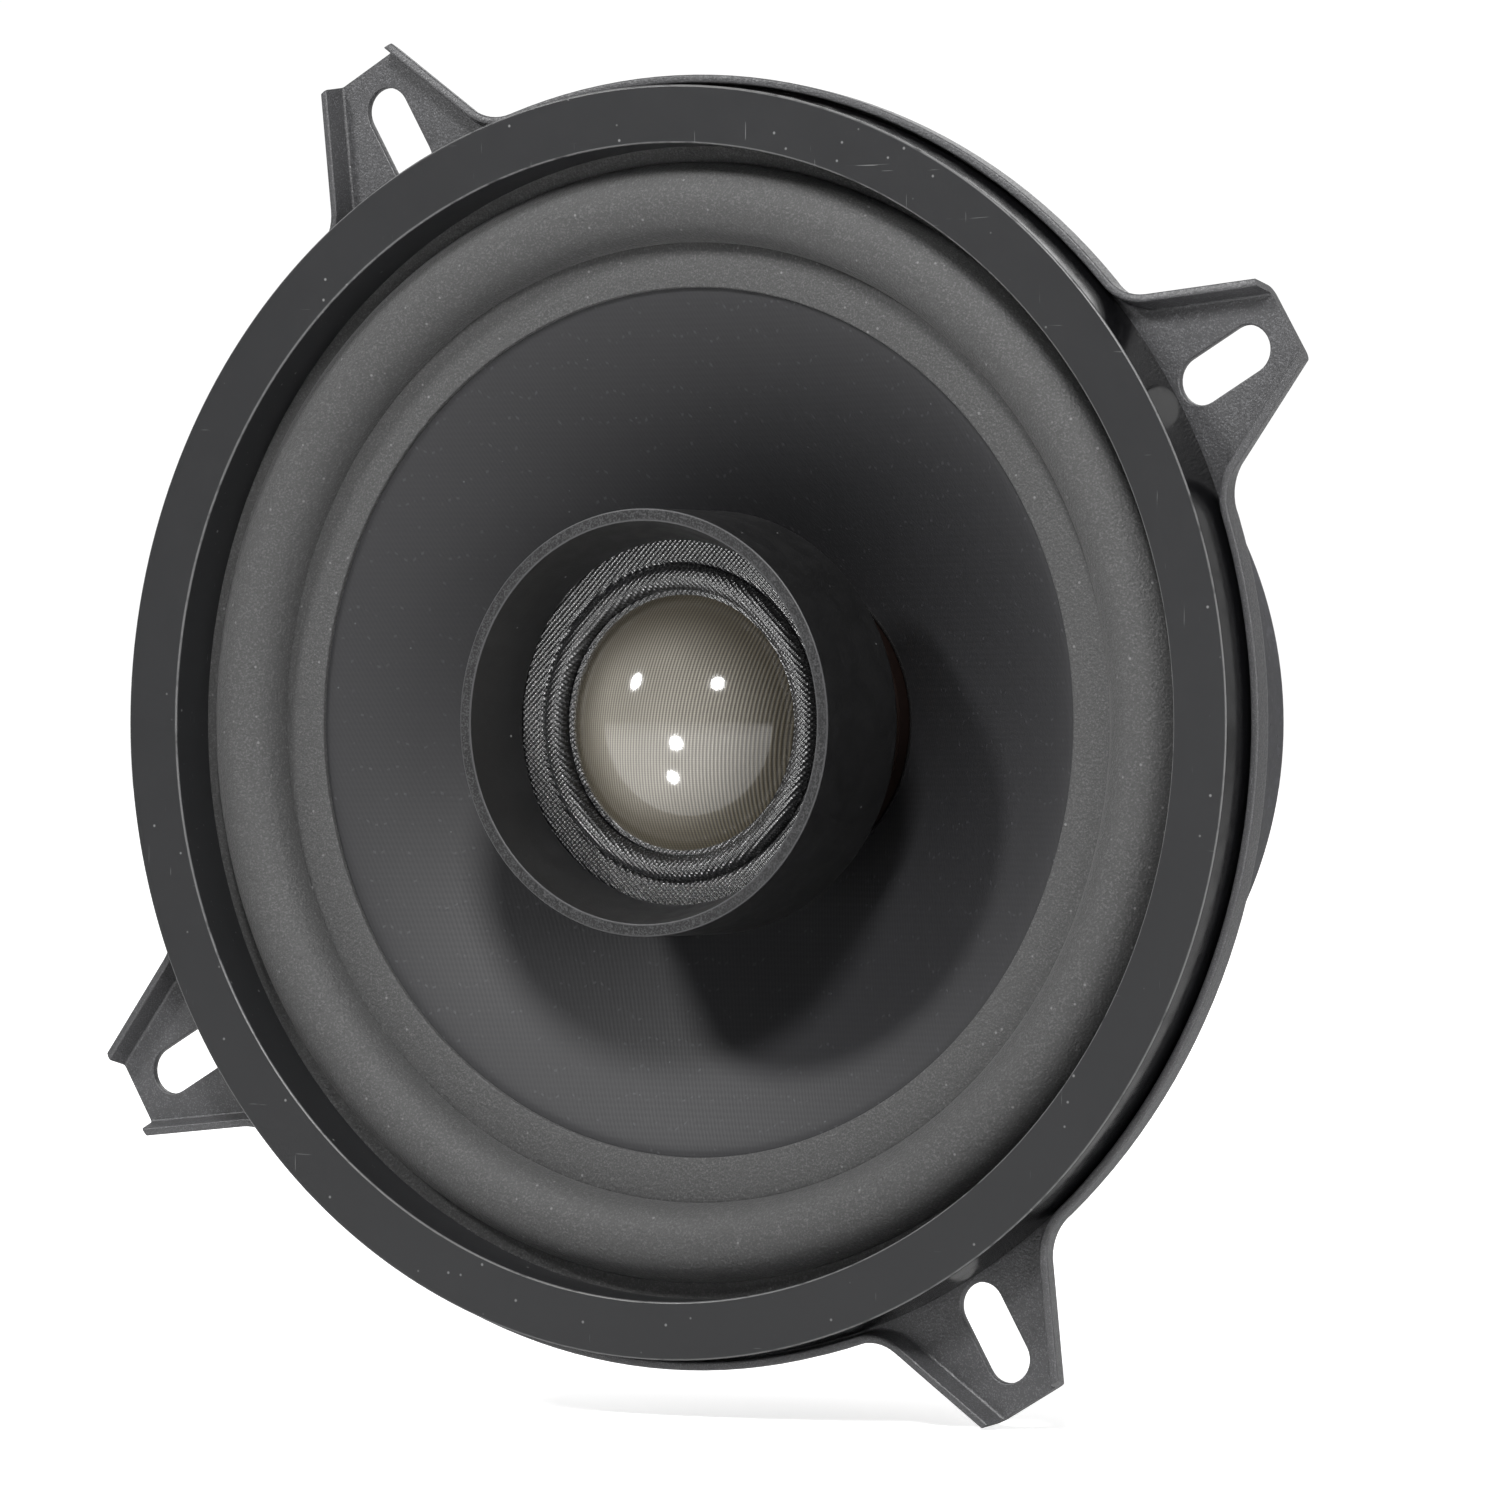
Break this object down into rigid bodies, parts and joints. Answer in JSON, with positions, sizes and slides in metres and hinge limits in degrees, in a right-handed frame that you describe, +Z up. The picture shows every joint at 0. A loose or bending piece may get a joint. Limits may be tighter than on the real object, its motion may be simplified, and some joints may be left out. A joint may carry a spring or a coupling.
{
  "type": "coaxial car speaker",
  "caption": "Round car speaker: pressed basket with slotted ears, trim ring, rubber-edged woven cone, and a soft-dome tweeter in a cup on a central post.",
  "frame": {"origin": "on the speaker's axis, in the plane of the flange's rear face", "axes": "+Y along the axis to the rear of the speaker, +Z up as it hangs in a door, +X to the right as seen from the front"},
  "size_m": [0.1418, 0.0659, 0.1418],
  "materials": {
    "powder_coat": "fine textured black powder coat",
    "satin_polymer": "satin dark grey, glossier black outer wall",
    "butyl_rubber": "matte, finely grained",
    "woven_cone": "dark grey twill weave, satin coat",
    "former_film": "dark brown film",
    "copper_wire": "lacquered winding",
    "damper_cloth": "resin-treated cloth, corrugated",
    "zinc_plate": "bright zinc plate",
    "ferrite": "ground ferrite",
    "brass_part": "yellow passivated",
    "cup_plastic": "matte black",
    "nickel_magnet": "nickel plate",
    "tweeter_textile": "black coated textile",
    "dome_silk": "champagne grey twill with a clear coat",
    "felt": "felt",
    "lead_insulation": "insulated wire",
    "fibre_board": "phenolic fibre board",
    "tinned_tab": "tin plate",
    "capacitor_sleeve": "sleeved electrolytic capacitor",
    "tinsel_braid": "braided tinsel"
  },
  "bodies": {
    "frame": {"basket": "powder_coat", "trim_ring": "satin_polymer", "surround": "butyl_rubber", "spider": "damper_cloth", "top_plate": "zinc_plate", "magnet": "ferrite", "yoke": "zinc_plate", "motor_rivets": "zinc_plate", "tweeter_post": "brass_part", "post_washer": "zinc_plate", "post_nut": "zinc_plate", "tweeter_cup": "cup_plastic", "tweeter_rear_cap": "cup_plastic", "tweeter_pot": "zinc_plate", "tweeter_magnet": "nickel_magnet", "tweeter_top_plate": "zinc_plate", "tweeter_mounting_ring": "cup_plastic", "tweeter_flange": "tweeter_textile", "tweeter_surround": "tweeter_textile", "tweeter_damping_pad": "felt", "tweeter_leads": "lead_insulation", "terminal_board": "fibre_board", "terminal_positive": "brass_part", "terminal_negative": "tinned_tab", "terminal_rivets": "zinc_plate", "capacitor": "capacitor_sleeve", "tinsel_lead_positive": "tinsel_braid", "tinsel_lead_negative": "tinsel_braid"},
    "cone_assembly": {"cone": "woven_cone", "voice_coil_former": "former_film", "voice_coil": "copper_wire"},
    "tweeter_diaphragm": {"tweeter_dome": "dome_silk", "tweeter_former": "former_film", "tweeter_coil": "copper_wire"}
  },
  "joints": [
    {"name": "cone_travel", "type": "slide", "parent": "frame", "child": "cone_assembly", "axis": [0, 1, 0], "range_m": [-0.004, 0.004], "stiffness_N_per_m": 1800, "deforming": ["surround", "spider", "tinsel_lead_positive", "tinsel_lead_negative"]},
    {"name": "tweeter_dome_travel", "type": "slide", "parent": "frame", "child": "tweeter_diaphragm", "axis": [0, 1, 0], "range_m": [-0.0003, 0.0003], "stiffness_N_per_m": 40, "deforming": ["tweeter_surround"]}
  ]
}
